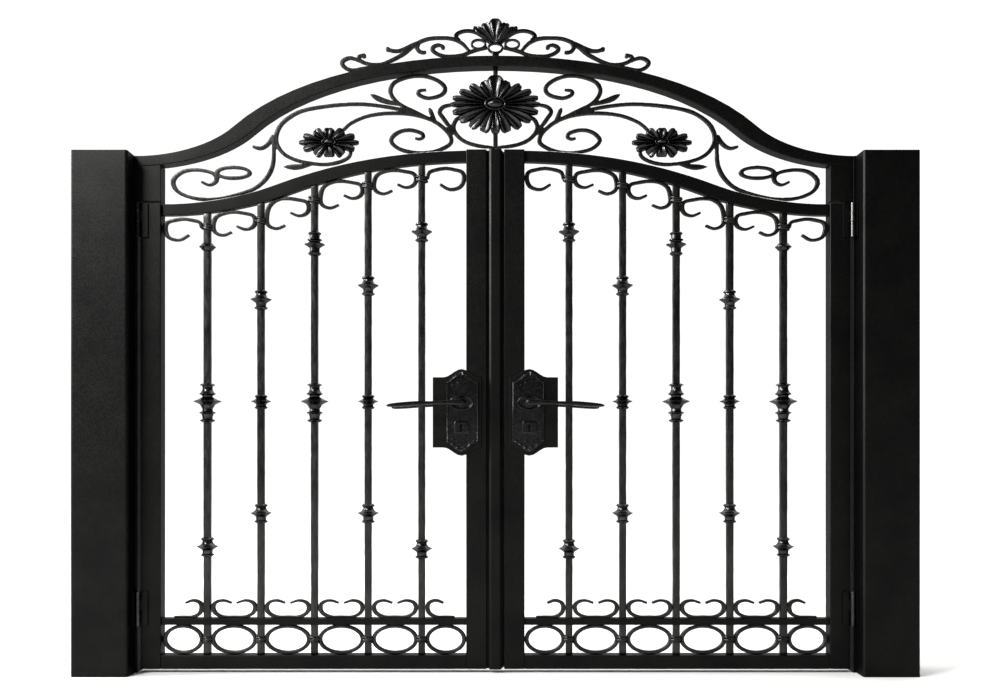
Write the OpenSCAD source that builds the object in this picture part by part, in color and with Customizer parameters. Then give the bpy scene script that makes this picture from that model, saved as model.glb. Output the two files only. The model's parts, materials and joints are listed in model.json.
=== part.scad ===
/* [Posts] */
// Side of the square posts
post_w = 205; // [140:5:240]
// Height of the posts above the ground
post_h = 1892; // [1700:2:2100]
// Clear width between the posts
clear_w = 2640; // [2200:10:3000]
// Corner radius of the post tube
post_corner_r = 10; // [6:1:16]

/* [Arch] */
// Rise of the arch from the top of the posts to its crown
arch_rise = 367; // [300:1:410]
// Thickness of the arch band where it runs level
arch_band = 38; // [32:1:48]
// Depth of the arch, the stiles and the bottom rails
frame_d = 55; // [45:1:70]
// Thickness of the jamb strips on the posts
jamb_t = 10; // [6:1:14]

/* [Leaves] */
// Width of the hinge stiles and meeting stiles
stile_w = 75; // [60:1:90]
// Gap between a jamb strip and its hinge stile
hinge_gap = 10; // [8:1:14]
// Distance between the two meeting stiles
meeting_gap = 64; // [56:1:80]
// Gap under the leaves
ground_gap = 13; // [8:1:40]
// Seam between a hinge stile and the arch leg over it
seam = 6; // [6:1:10]
// Drop from the top of the posts to the foot of the curved rails
rail_drop = 174; // [160:1:190]
// Rise of the curved rails
rail_rise = 198; // [170:1:215]
// Thickness of the curved rails where they run level
rail_t = 41; // [32:1:46]
// Depth of the curved rails
rail_d = 30; // [27:1:40]
// Height of the bottom rails
bottom_rail_h = 50; // [36:1:60]
// Width of the strip in front of the gap between the leaves
astragal_w = 46; // [40:1:50]
// How far the closing strip stands out in front of the leaves
astragal_proud = 8; // [4:1:14]

/* [Infill] */
// Thickness of the square bars
bar = 25; // [18:1:28]
// Clear width of an end bay as a share of an inner bay
end_bay_share = 0.88; // [0.8:0.01:1]
// Clear height of the ring row
ring_row_h = 110; // [90:1:130]
// Height of the rail over the ring row
ring_rail_h = 24; // [20:1:34]
// Thickness of the rings at their sides
ring_side_t = 16; // [10:1:18]
// Thickness of the rings at the top and bottom
ring_end_t = 13; // [9:1:16]
// Depth of the scrolls, the rings and the stem
scroll_d = 16; // [12:1:20]
// Thickness of a scroll where it runs level
scroll_level_t = 12; // [9:1:14]
// Thickness of a scroll where it runs upright
scroll_upright_t = 17; // [12:1:20]
// Height of the base scrolls
base_scroll_h = 64; // [54:1:80]
// Gap between the curved rails and the crowns of the top scrolls in the bay at the meeting stile
last_crown_gap = 12; // [6:1:16]

/* [Lock] */
// Height of the lever spindles above the ground
lever_z = 987; // [900:1:1100]
// Distance from a meeting stile's free edge to its lever spindle
lever_inset = 92; // [70:1:100]
// Length of a lever from its spindle to its tip
lever_l = 268; // [200:1:280]
// Distance from a leaf's face to the middle of a lever
lever_reach = 64; // [56:1:80]
// Diameter of the lever spindles
spindle_d = 16; // [12:1:18]

/* [Ornament] */
// Width of the flower over the meeting stiles
big_flower_w = 328; // [280:2:340]
// Height of the flower over the meeting stiles
big_flower_h = 206; // [180:2:220]
// Width of the side flowers
small_flower_w = 230; // [180:2:250]
// Height of the side flowers
small_flower_h = 108; // [90:2:120]
// Height of the petals' ridges over the scrolls
flower_t = 16; // [10:1:22]
// Height of the palmette over the crown of the arch
crest_h = 140; // [120:1:160]

/* [Hidden] */

coat = "#2b2b2b";
casting = "#1f1f1f";
round_fn = 48;

// Frame: x from the centre line, y from the mid plane (front is -y), z from the ground
half_clear = clear_w / 2;
jamb_x = half_clear - jamb_t;
stile_x = jamb_x - hinge_gap;
stile_in_x = stile_x - stile_w;
meet_x = meeting_gap / 2;
meet_in_x = meet_x + stile_w;
origin_x = half_clear + post_w / 2;
leaf_front = frame_d / 2;

// Heights
rail_foot_z = post_h - rail_drop;
rail_crown_z = rail_foot_z + rail_rise;
bottom_rail_top = ground_gap + bottom_rail_h;
ring_rail_z = bottom_rail_top + ring_row_h;
ring_rail_top = ring_rail_z + ring_rail_h;
ring_rail_proud = 7;
ring_rail_d = bar + 2 * ring_rail_proud;

// Bars
bar_count = 5;
clear_leaf = stile_in_x - meet_in_x;
inner_bay = (clear_leaf - bar_count * bar) / (bar_count - 1 + 2 * end_bay_share);
end_bay = inner_bay * end_bay_share;
function bar_x(i) = stile_in_x - end_bay - bar / 2 - i * (inner_bay + bar);

// Curves
curve_steps = 14;
function bezier(a, b, c, d, t) =
    pow(1 - t, 3) * a + 3 * pow(1 - t, 2) * t * b + 3 * (1 - t) * t * t * c + pow(t, 3) * d;
// Half of an ogee of unit width and rise, from its crown to its foot
function unit_ogee(crown, bend, slope, above, below, foot) =
    let (up = bend + above * [-1, slope], down = bend + below * [1, -slope])
    concat(
        [for (i = [0:curve_steps - 1]) bezier([0, 1], [crown, 1], up, bend, i / curve_steps)],
        [for (i = [0:curve_steps]) bezier(bend, down, [1 - foot, 0], [1, 0], i / curve_steps)]);
function placed(points, w, h, z) = [for (p = points) [p.x * w, z + p.y * h]];
function tangent(p, i) =
    let (d = p[min(i + 1, len(p) - 1)] - p[max(i - 1, 0)]) d / norm(d);
function level_ends(p, i) = i == 0 || i == len(p) - 1 ? [1, 0] : tangent(p, i);
// A band is thicker where it slopes, like a round one that is drawn out sideways by this factor
draw_out = 2.05;
function lowered(p, t) = [for (i = [0:len(p) - 1])
    let (d = level_ends(p, i))
    p[i] - t * [-draw_out * draw_out * d.y, d.x] / norm([d.x, draw_out * d.y])];
arch_shape = unit_ogee(0.272, [0.731, 0.298], 3.125, 0.162, 0.065, 0.089);
rail_shape = unit_ogee(0.20, [0.681, 0.340], 2.30, 0.262, 0.107, 0.077);
rail_flat = 0.019;
rail_w = stile_in_x * (1 - rail_flat);
arch_top_line = placed(arch_shape, jamb_x, arch_rise, post_h);
arch_low_line = lowered(arch_top_line, arch_band);
rail_top_line = placed(rail_shape, rail_w, rail_rise, rail_foot_z);
rail_low_line = lowered(rail_top_line, rail_t);
function arch_top(x) = lookup(abs(x), arch_top_line);
function arch_low(x) = lookup(abs(x), arch_low_line);
function rail_top(x) = lookup(abs(x), rail_top_line);
function rail_low(x) = lookup(abs(x), rail_low_line);
function flipped(p) = [for (i = [len(p) - 1:-1:0]) [-p[i].x, p[i].y]];
function reversed(p) = [for (i = [len(p) - 1:-1:0]) p[i]];

// A point between the curved rails and the arch: its share of the half width, and of the height there
function in_panel(p) =
    let (x = p.x * jamb_x) [x, rail_top(x) + p.y * (arch_low(x) - rail_top(x))];
// A point over the arch: its share of the half width, and of the height of the crest
function on_arch(p) = let (x = p.x * jamb_x) [x, arch_top(x) + p.y * crest_h];

// Smooth curve through chosen points
curve_cuts = 3;
function before(p, i) = i > 0 ? p[i - 1] : 2 * p[0] - p[1];
function after(p, i) = i < len(p) ? p[i] : 2 * p[len(p) - 1] - p[len(p) - 2];
function through(a, b, c, d, t) = 0.5 * (2 * b + (c - a) * t
    + (2 * a - 5 * b + 4 * c - d) * t * t + (3 * b - a - 3 * c + d) * pow(t, 3));
function smooth(p) = concat(
    [for (i = [0:len(p) - 2]) for (k = [0:curve_cuts - 1])
        through(before(p, i), p[i], p[i + 1], after(p, i + 2), k / curve_cuts)],
    [p[len(p) - 1]]);
// Outline of a bar that follows a curve; its ends narrow to the given shares
end_stretch = 0.16;
function narrowing(i, n, first, last) =
    min(1, first + (1 - first) * i / (n * end_stretch), last + (1 - last) * (n - i) / (n * end_stretch));
function bar_side(p, side, first, last) = [for (i = [0:len(p) - 1])
    let (d = tangent(p, i), k = side / 2 * narrowing(i, len(p) - 1, first, last))
    p[i] + k * [-d.y * scroll_upright_t, d.x * scroll_level_t]];
function bar_outline(p, first = 0.7, last = 0.7) =
    concat(bar_side(p, 1, first, last), reversed(bar_side(p, -1, first, last)));
function ellipse(c, w, h, steps = 40) =
    [for (i = [0:steps - 1]) c + [w / 2 * cos(i * 360 / steps), h / 2 * sin(i * 360 / steps)]];

// Draws an outline of the x-z plane as a plate of the given depth
module plate(depth, y = 0)
    translate([0, y, 0]) rotate([90, 0, 0]) linear_extrude(height = depth, center = true) children();
// Puts a piece that is modelled on the right side on the left or the right
module on(side) {
    translate([origin_x, 0, 0]) {
        if (side < 0) mirror([1, 0, 0]) children();
        else children();
    }
}
module block(low, high) translate(low) cube(high - low);
module oval_ring(c, w, h, upright_t, level_t) difference() {
    polygon(ellipse(c, w, h));
    polygon(ellipse(c, w - 2 * upright_t, h - 2 * level_t));
}
module scroll(points, first = 0.7, last = 0.7) polygon(bar_outline(smooth(points), first, last));

// Posts and frame
module post(side) color(coat) on(side) translate([half_clear, -post_w / 2, 0]) {
    r = post_corner_r;
    block([r, 0, 0], [post_w - r, post_w, post_h]);
    block([0, r, 0], [post_w, post_w - r, post_h]);
    for (x = [r, post_w - r], y = [r, post_w - r])
        translate([x, y, 0]) cylinder(r = r, h = post_h, $fn = round_fn);
}
module left_post() post(-1);
module right_post() post(1);

module jamb_strip(side) color(coat) on(side)
    block([jamb_x, -leaf_front, 0], [half_clear, leaf_front, post_h]);
module left_jamb_strip() jamb_strip(-1);
module right_jamb_strip() jamb_strip(1);

module arch_outline()
    polygon(concat(flipped(arch_top_line), arch_top_line, reversed(arch_low_line),
        reversed(flipped(arch_low_line))));
module arch() color(coat) translate([origin_x, 0, 0]) plate(frame_d) arch_outline();

leg_z = rail_foot_z + seam;
module arch_leg(side) color(coat) on(side) plate(frame_d) difference() {
    translate([stile_in_x, leg_z]) square([jamb_x - stile_in_x, arch_top(stile_in_x) - leg_z]);
    arch_outline();
    translate([stile_in_x, arch_top(jamb_x)]) square([jamb_x - stile_in_x, arch_rise]);
}
module left_arch_leg() arch_leg(-1);
module right_arch_leg() arch_leg(1);

// Overthrow: scrolls between the curved rails and the arch, drawn on the right side
stem_w = 18;
stem_low = rail_crown_z + 2 * seam;
big_s_scroll = [[0.827, 0.485], [0.805, 0.374], [0.787, 0.413], [0.785, 0.517], [0.801, 0.65],
    [0.84, 0.782], [0.879, 0.804], [0.906, 0.618], [0.895, 0.342], [0.853, 0.142], [0.802, 0.051],
    [0.747, 0.036], [0.682, 0.063], [0.645, 0.157], [0.626, 0.317], [0.623, 0.534], [0.624, 0.705]];
flower_loop = [[0.418, 0.223], [0.407, 0.149], [0.416, 0.081], [0.447, 0.055], [0.489, 0.085],
    [0.55, 0.22], [0.592, 0.392], [0.615, 0.604], [0.615, 0.757], [0.599, 0.857], [0.566, 0.893],
    [0.527, 0.879], [0.458, 0.814], [0.384, 0.739], [0.321, 0.656], [0.26, 0.563], [0.202, 0.457],
    [0.164, 0.363], [0.119, 0.213]];
lower_volute = [[0.435, 0.431], [0.405, 0.522], [0.353, 0.564], [0.29, 0.545], [0.229, 0.489],
    [0.176, 0.397], [0.139, 0.268], [0.124, 0.162], [0.131, 0.083], [0.173, 0.013], [0.223, 0.017],
    [0.27, 0.086], [0.294, 0.204], [0.275, 0.291], [0.243, 0.308], [0.209, 0.255], [0.203, 0.203],
    [0.214, 0.181], [0.226, 0.199]];
upper_volute = [[0.164, 0.37], [0.227, 0.528], [0.273, 0.656], [0.295, 0.807], [0.284, 0.924],
    [0.244, 0.966], [0.202, 0.956], [0.162, 0.881], [0.141, 0.782], [0.152, 0.702], [0.189, 0.676],
    [0.215, 0.731], [0.214, 0.777], [0.194, 0.781]];
stem_scroll = [[0.085, 0.439], [0.108, 0.397], [0.118, 0.305], [0.109, 0.205], [0.084, 0.116],
    [0.046, 0.064], [0, 0.043]];
flower_tendril = [[0.118, 0.237], [0.145, 0.408], [0.157, 0.494], [0.145, 0.558], [0.115, 0.576]];
spike = [[0.169, 0.365], [0.177, 0.454], [0.186, 0.555]];
bud = [[0.683, 0.791], [0.663, 0.681], [0.647, 0.656], [0.634, 0.686], [0.624, 0.753]];
arch_leaf = [[0.353, 0.836], [0.319, 0.73], [0.255, 0.608]];
loop_leaf = [[0.597, 0.23], [0.556, 0.153], [0.51, 0.118]];
lens_at = [0.737, 0.491];
lens_w = 0.105 * jamb_x;
lens_h = 52;
leaf_w = 20;
function panel(points) = [for (p = points) in_panel(p)];
module leaf_blade(points, w) {
    line = smooth(panel(points));
    n = len(line) - 1;
    side = [for (i = [0:n]) let (d = tangent(line, i)) [-d.y, d.x] * w / 2 * sin(180 * pow(i / n, 0.8))];
    polygon(concat([for (i = [0:n]) line[i] + side[i]], [for (i = [n - 1:-1:1]) line[i] - side[i]]));
}
module overthrow_outline() {
    for (s = [big_s_scroll, flower_loop, lower_volute, upper_volute, stem_scroll, flower_tendril, bud])
        scroll(panel(s));
    scroll(panel(spike), 1, 0.3);
    leaf_blade(arch_leaf, leaf_w);
    leaf_blade(loop_leaf, leaf_w);
    oval_ring(in_panel(lens_at), lens_w, lens_h, scroll_upright_t, scroll_level_t);
}
module overthrow_scrolls(side) color(coat) on(side) plate(scroll_d) difference() {
    overthrow_outline();
    arch_outline();
    stem_outline();
    leaf_swing_outline();
}
// Room that the leaves need under the overthrow
module leaf_swing_outline() polygon(concat([[0, rail_foot_z]], [for (p = rail_top_line) p + [0, seam]],
    [[stile_in_x, rail_foot_z + seam], [stile_in_x, rail_foot_z]]));
module left_overthrow_scrolls() overthrow_scrolls(-1);
module right_overthrow_scrolls() overthrow_scrolls(1);

module stem_outline() polygon([[-stem_w / 2, stem_low], [stem_w / 2, stem_low],
    [stem_w / 2, arch_low(stem_w / 2)], [0, arch_low(0)], [-stem_w / 2, arch_low(stem_w / 2)]]);
module flower_stem() color(coat) translate([origin_x, 0, 0]) plate(scroll_d) stem_outline();

// Flowers: each petal has a ridge along its middle, and a raised boss stands in the centre
petal_cuts = 4;
petal_notch = 0.10;
// Each ring of the surface: [share of the petal's reach, height on a ridge, height in a groove]
flower_rings = [[0.08, 1.4, 1.4], [0.15, 1, 1], [0.17, 0.5, 0.3],
    [0.5, 0.95, 0.4], [0.85, 1, 0.35], [1, 0.5, 0.3]];
boss_h = 1.5;
oval_power = 1.8;
function reach(a, w, up, down) = 1 / pow(pow(abs(cos(a)) / (w / 2), oval_power)
    + pow(abs(sin(a)) / (sin(a) > 0 ? up : down), oval_power), 1 / oval_power);
// The petal over the stem reaches further than its neighbours
petal_half_angle = 11;
function top_petal(a, longer) = longer * exp(-pow((a - 90) / petal_half_angle, 2));
module flower(c, w, up, down, count, longer) {
    n = count * petal_cuts;
    step = 360 / n;
    rings = len(flower_rings);
    function ridge(j) = 1 - abs((j % petal_cuts) - petal_cuts / 2) / (petal_cuts / 2);
    function angle(j) = 90 + (j - petal_cuts / 2) * step;
    function tip(j) = let (a = angle(j) % 360)
        (reach(a, w, up, down) + top_petal(a, longer)) * (1 - petal_notch * (1 - ridge(j)))
        * [cos(a), sin(a)];
    function at(xz, height) = [c.x + xz.x, -scroll_d / 2 - height, c.y + xz.y];
    front = [for (r = flower_rings) for (j = [0:n - 1])
        at(r[0] * tip(j), flower_t * (r[2] + (r[1] - r[2]) * ridge(j)))];
    back = [for (j = [0:n - 1]) at(tip(j), 0)];
    ends = [at([0, 0], flower_t * boss_h), at([0, 0], 0)];
    last = rings * n;
    polyhedron(concat(front, back, ends), concat(
        [for (k = [0:n:last - n]) for (j = [0:n - 1]) [k + j, k + (j + 1) % n, k + n + j]],
        [for (k = [0:n:last - n]) for (j = [0:n - 1]) [k + (j + 1) % n, k + n + (j + 1) % n, k + n + j]],
        [for (j = [0:n - 1]) [last + n, (j + 1) % n, j]],
        [for (j = [0:n - 1]) [last + n + 1, last + j, last + (j + 1) % n]]));
}
big_flower_at = in_panel([0, 0.557]);
big_flower_petals = 20;
// Its reach upwards, downwards and of the longer top petal, as shares of its height
big_flower_up = 0.43;
big_flower_down = 0.52;
big_flower_longer = 0.10;
small_flower_at = in_panel([0.467, 0.334]);
small_flower_petals = 11;
module big_flower() color(casting) translate([origin_x, 0, 0])
    flower(big_flower_at, big_flower_w, big_flower_up * big_flower_h, big_flower_down * big_flower_h,
        big_flower_petals, big_flower_longer * big_flower_h);
module side_flower(side) color(casting) on(side) flower(small_flower_at, small_flower_w,
    small_flower_h / 2, small_flower_h / 2, small_flower_petals, 0);
module left_flower() side_flower(-1);
module right_flower() side_flower(1);

// Crest: scrolls and a palmette on the crown of the arch
crest_s_scroll = [[0.3725, 0.43], [0.384, 0.411], [0.3794, 0.294], [0.3603, 0.176], [0.3359, 0.102],
    [0.3099, 0.101], [0.2618, 0.252], [0.2359, 0.415], [0.2145, 0.527], [0.1878, 0.591],
    [0.1565, 0.588], [0.1244, 0.55], [0.1015, 0.461], [0.0855, 0.335], [0.0687, 0.13]];
crest_end_loop = [[0.3359, 0.074], [0.3733, 0.075], [0.3985, 0.083], [0.4183, 0.173], [0.4313, 0.328],
    [0.426, 0.414], [0.4107, 0.432], [0.3962, 0.379], [0.3817, 0.285]];
crest_tendril = [[0.3023, 0.46], [0.2885, 0.389], [0.2695, 0.368], [0.2443, 0.432], [0.2214, 0.52]];
crest_comma = [[0.2137, 0.526], [0.2206, 0.405], [0.2145, 0.291], [0.2038, 0.247], [0.1939, 0.246]];
crest_spiral = [[0.0206, 0.273], [0.0466, 0.233], [0.0718, 0.167], [0.0939, 0.095], [0.1313, 0.082],
    [0.1595, 0.154], [0.1771, 0.282], [0.1725, 0.371], [0.1595, 0.404], [0.1466, 0.362]];
crest_bulbs = [[0.3695, 0.402], [0.1473, 0.334], [0.3023, 0.453]];
bulb_d = 17;
side_ring_at = [0.0473, 0.368];
side_ring_w = 60;
side_ring_h = 40;
ring_upright_t = 9;
ring_level_t = 7;
function crest(points) = [for (p = points) on_arch(p)];
module side_ring_hole() polygon(ellipse(on_arch(side_ring_at), side_ring_w - 2 * ring_upright_t,
    side_ring_h - 2 * ring_level_t));
module crest_outline() {
    for (s = [crest_s_scroll, crest_end_loop, crest_tendril, crest_comma, crest_spiral])
        scroll(crest(s));
    for (p = crest_bulbs) translate(on_arch(p)) circle(d = bulb_d, $fn = round_fn);
    polygon(ellipse(on_arch(side_ring_at), side_ring_w, side_ring_h));
}
module crest_scrolls(side) color(coat) on(side) plate(scroll_d) difference() {
    crest_outline();
    side_ring_hole();
    arch_outline();
    palmette_outline();
}
module left_crest_scrolls() crest_scrolls(-1);
module right_crest_scrolls() crest_scrolls(1);

outer_leaf = [[0.1122, 0.608], [0.1031, 0.69], [0.0824, 0.734], [0.0595, 0.699], [0.0366, 0.582],
    [0.0122, 0.365]];
outer_leaf_stalk = [[0.1122, 0.629], [0.1092, 0.556], [0.0992, 0.46]];
side_lobe = [[0.0626, 0.807], [0.0489, 0.769], [0.0321, 0.66], [0.0076, 0.365]];
inner_lobe = [[0.0366, 0.903], [0.0275, 0.81], [0.0168, 0.644], [0.0046, 0.365]];
centre_lobe = [[-0.0076, 0.308], [-0.0099, 0.608], [-0.0183, 0.866], [-0.0145, 0.987], [0, 1.043],
    [0.0145, 0.987], [0.0183, 0.866], [0.0099, 0.608], [0.0076, 0.308]];
foot_ring_at = [0, 0.264];
foot_ring_w = 60;
foot_ring_h = 42;
neck_w = 26;
lobe_root = 0.55;
module palmette_outline() difference() {
    union() {
        polygon(crest(smooth(centre_lobe)));
        for (k = [-1, 1]) scale([k, 1]) {
            for (s = [outer_leaf, side_lobe, inner_lobe]) scroll(crest(s), 1, lobe_root);
            scroll(crest(outer_leaf_stalk));
        }
        polygon(ellipse(on_arch(foot_ring_at), foot_ring_w, foot_ring_h));
        translate([-neck_w / 2, arch_low(0)]) square([neck_w, on_arch(foot_ring_at).y - arch_low(0)]);
    }
    polygon(ellipse(on_arch(foot_ring_at), foot_ring_w - 2 * ring_upright_t,
        foot_ring_h - 2 * ring_level_t));
    for (k = [-1, 1]) scale([k, 1]) side_ring_hole();
    arch_outline();
    translate([-neck_w / 2, 0]) square([neck_w, arch_low(0)]);
}
module palmette() color(casting) translate([origin_x, 0, 0]) plate(scroll_d) palmette_outline();

// Hinges: the barrel stands in front of the gap between jamb strip and stile
barrel_r = 9;
pin_r = 5;
pin_clear = 0.08;
knuckle_gap = 0.4;
hinge_l = 126;
hinge_plate_t = 6;
hinge_plate_w = 30;
hinge_axis_x = stile_x + hinge_gap / 2;
barrel_clear = 1.5;
hinge_axis_y = -leaf_front - barrel_r - barrel_clear;
hinge_zs = [ring_rail_z, rail_foot_z - hinge_l];
knuckle_cuts = [0, 0.446, 0.773, 1];
module barrel(from, to, bore_r) translate([hinge_axis_x, hinge_axis_y, from]) difference() {
    cylinder(r = barrel_r, h = to - from, $fn = round_fn);
    if (bore_r > 0) translate([0, 0, -1]) cylinder(r = bore_r, h = to - from + 2, $fn = round_fn);
}
module hinge_bracket(z) {
    low = z + knuckle_cuts[1] * hinge_l;
    high = z + knuckle_cuts[2] * hinge_l;
    for (part = [[z, low], [high, z + hinge_l]]) {
        barrel(part[0], part[1], 0);
        block([hinge_axis_x, hinge_axis_y - hinge_plate_t / 2, part[0]],
            [half_clear, hinge_axis_y + hinge_plate_t / 2, part[1]]);
    }
    translate([hinge_axis_x, hinge_axis_y, low - 1])
        cylinder(r = pin_r, h = high - low + 2, $fn = round_fn);
    block([half_clear - hinge_plate_t, hinge_axis_y - hinge_plate_w / 2, z],
        [half_clear, -leaf_front, z + hinge_l]);
}
module hinge_brackets(side) color(coat) on(side) for (z = hinge_zs) hinge_bracket(z);
module left_hinge_brackets() hinge_brackets(-1);
module right_hinge_brackets() hinge_brackets(1);

module hinge_knuckle(z) {
    low = z + knuckle_cuts[1] * hinge_l + knuckle_gap;
    high = z + knuckle_cuts[2] * hinge_l - knuckle_gap;
    difference() {
        union() {
            barrel(low, high, 0);
            block([stile_x - hinge_plate_w, -leaf_front - hinge_plate_t, low],
                [hinge_axis_x, -leaf_front, high]);
        }
        translate([hinge_axis_x, hinge_axis_y, low - 1])
            cylinder(r = pin_r + pin_clear, h = high - low + 2, $fn = round_fn);
    }
    block([stile_x - hinge_plate_w, -leaf_front - hinge_plate_t, z],
        [hinge_axis_x - barrel_r - hinge_plate_t, -leaf_front, z + hinge_l]);
}
module hinge_knuckles(side) color(coat) on(side) for (z = hinge_zs) hinge_knuckle(z);
module left_hinge_knuckles() hinge_knuckles(-1);
module right_hinge_knuckles() hinge_knuckles(1);

// Leaves
module hinge_stile(side) color(coat) on(side)
    block([stile_in_x, -leaf_front, ground_gap], [stile_x, leaf_front, rail_foot_z]);
module left_hinge_stile() hinge_stile(-1);
module right_hinge_stile() hinge_stile(1);

spindle_x = meet_x + lever_inset;
spindle_clear = 0.1;
module spindle_hole() translate([spindle_x, 0, lever_z]) rotate([90, 0, 0])
    cylinder(d = spindle_d + 2 * spindle_clear, h = 4 * frame_d, center = true, $fn = round_fn);
module meeting_stile(side) color(coat) on(side)
    block([meet_x, -leaf_front, ground_gap], [meet_in_x, leaf_front, rail_crown_z]);
module left_meeting_stile() meeting_stile(-1);
module right_meeting_stile() meeting_stile(1);

rail_cuts = 28;
rail_xs = [for (i = [0:rail_cuts]) meet_in_x + (stile_in_x - meet_in_x) * i / rail_cuts];
module rail_outline()
    polygon(concat([for (x = rail_xs) [x, rail_top(x)]], reversed([for (x = rail_xs) [x, rail_low(x)]])));
module top_rail(side) color(coat) on(side) plate(rail_d) rail_outline();
module left_top_rail() top_rail(-1);
module right_top_rail() top_rail(1);

module bottom_rail(side) color(coat) on(side)
    block([meet_in_x, -leaf_front, ground_gap], [stile_in_x, leaf_front, bottom_rail_top]);
module left_bottom_rail() bottom_rail(-1);
module right_bottom_rail() bottom_rail(1);

module ring_rail(side) color(coat) on(side) difference() {
    block([meet_in_x, -ring_rail_d / 2, ring_rail_z], [stile_in_x, ring_rail_d / 2, ring_rail_top]);
    for (i = [0:bar_count - 1])
        block([bar_x(i) - bar / 2, -bar / 2, ring_rail_z - 1],
            [bar_x(i) + bar / 2, bar / 2, ring_rail_top + 1]);
}
module left_ring_rail() ring_rail(-1);
module right_ring_rail() ring_rail(1);

bar_seat = 0.2;
module bars(side) color(coat) on(side) for (i = [0:bar_count - 1]) {
    low = bar_x(i) - bar / 2;
    high = bar_x(i) + bar / 2;
    plate(bar) polygon([[low, bottom_rail_top], [high, bottom_rail_top],
        [high, rail_low(high) - bar_seat], [low, rail_low(low) - bar_seat]]);
}
module left_bars() bars(-1);
module right_bars() bars(1);

// Turned collars on the bars: each ring is [height above the middle, radius, half height]
core_r = bar * 0.74;
single_ring = [[0, 30, 13]];
small_knot = [[27, 24, 5], [0, 38, 11], [-31, 24.5, 6]];
middle_knot = [[18, 23, 4], [0, 37, 10], [-23, 24.5, 5]];
upper_knot = [[40, 24, 5], [17, 27.5, 7], [0, 37, 9], [-34, 24.5, 6]];
big_knot = [[60, 28, 6], [28, 31, 9], [0, 50, 11], [-15, 27, 6], [-42, 30, 8], [-71, 28, 6]];
// On each bar: the share of the height from the ring rail to the foot of the curved rail
bar_collars = [
    [[0.898, single_ring], [0.524, big_knot], [0.173, small_knot]],
    [[0.771, small_knot], [0.524, middle_knot], [0.254, small_knot]],
    [[0.904, upper_knot], [0.524, big_knot]],
    [[0.805, small_knot], [0.524, middle_knot], [0.254, small_knot]],
    [[0.935, small_knot], [0.168, small_knot]]
];
function collar_z(share) = ring_rail_top + share * (rail_foot_z - ring_rail_top);
module collar(rings) difference() {
    union() {
        for (ring = rings) translate([0, 0, ring[0]]) {
            translate([0, 0, -ring[2]]) cylinder(r1 = core_r, r2 = ring[1], h = ring[2], $fn = round_fn);
            cylinder(r1 = ring[1], r2 = core_r, h = ring[2], $fn = round_fn);
        }
        low = min([for (ring = rings) ring[0] - ring[2]]);
        high = max([for (ring = rings) ring[0] + ring[2]]);
        translate([0, 0, low]) cylinder(r = core_r, h = high - low, $fn = round_fn);
    }
    cube([bar, bar, rail_foot_z], center = true);
}
module collars(side) color(casting) on(side)
    for (i = [0:bar_count - 1]) for (c = bar_collars[i])
        translate([bar_x(i), 0, collar_z(c[0])]) collar(c[1]);
module left_collars() collars(-1);
module right_collars() collars(1);

// Ties: straps in front of and behind each bar, over the scrolls and the rings
tie_grip = 11;
tie_w = bar + 2 * tie_grip;
tie_h = 18;
tie_t = 5;
function bay_low(i) = i < bar_count ? bar_x(i) + bar / 2 : meet_in_x;
function bay_high(i) = i > 0 ? bar_x(i - 1) - bar / 2 : stile_in_x;
// Middle of a top scroll's crown: it leans on the curved rail, and hangs lower in the end bays
first_crown_gap = 6;
crown_shares = [0.3:0.1:0.6];
function crown_z(i) = let (low = bay_low(i), w = bay_high(i) - low)
    min([for (s = crown_shares) rail_low(low + s * w)]) - scroll_level_t / 2
    - (i == 0 ? first_crown_gap : i == bar_count ? last_crown_gap : 0);
// Drop of each bar's tie from the crown on its hinge side
tie_drops = [30, 31, 5, 17, 33];
function tie_z(i) = crown_z(i) - tie_drops[i];
ring_mid_z = bottom_rail_top + ring_row_h / 2;
module tie(x, z) for (y = [-1, 1])
    block([x - tie_w / 2, y * (bar + tie_t) / 2 - tie_t / 2, z - tie_h / 2],
        [x + tie_w / 2, y * (bar + tie_t) / 2 + tie_t / 2, z + tie_h / 2]);
module ties(side) color(casting) on(side) for (i = [0:bar_count - 1]) {
    tie(bar_x(i), tie_z(i));
    tie(bar_x(i), ring_mid_z);
}
module left_ties() ties(-1);
module right_ties() ties(1);

// C-scroll from the low to the high side of a bay, with its crown or foot at the given level and bowed
// by the given height. It stands against each side at that side's height and hooks inwards there, with
// a hook's depth and points as shares; no_hook ends it there, and flat_end on the level stretch
no_hook = 0;
flat_end = -1;
inner_curl = [[0.45, 0.6], [0.27, 1], [0.11, 0.72]];
end_curl = [[0.64, 0.52], [0.4, 1], [0.14, 0.75]];
function hook(low, w, z, shape, inwards) = [for (p = shape[1])
    [low + (inwards > 0 ? p.x : 1 - p.x) * w, z - shape[0] * p.y]];
module bay_scroll(low, high, level, bow, low_z, high_z, low_hook, high_hook) {
    w = high - low;
    side_x = scroll_upright_t / 2;
    shoulder = 0.62;
    low_side = [[low + side_x, low_z], [low + 0.10 * w, low_z + shoulder * (level - low_z)]];
    high_side = [[low + 0.90 * w, high_z + shoulder * (level - high_z)], [high - side_x, high_z]];
    scroll(concat(
        low_hook == no_hook || low_hook == flat_end ? [] : hook(low, w, low_z, low_hook, 1),
        low_hook == flat_end ? [] : low_side,
        [[low + 0.28 * w, level - bow], [low + 0.5 * w, level], [low + 0.72 * w, level - bow]],
        high_hook == flat_end ? [] : high_side,
        high_hook == no_hook || high_hook == flat_end ? []
            : reversed(hook(low, w, high_z, high_hook, -1))));
}
top_hook = [30, inner_curl];
end_hook = [41, end_curl];
end_side_drop = 37;
low_side_drop = 34;
crown_bow = 5;
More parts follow.
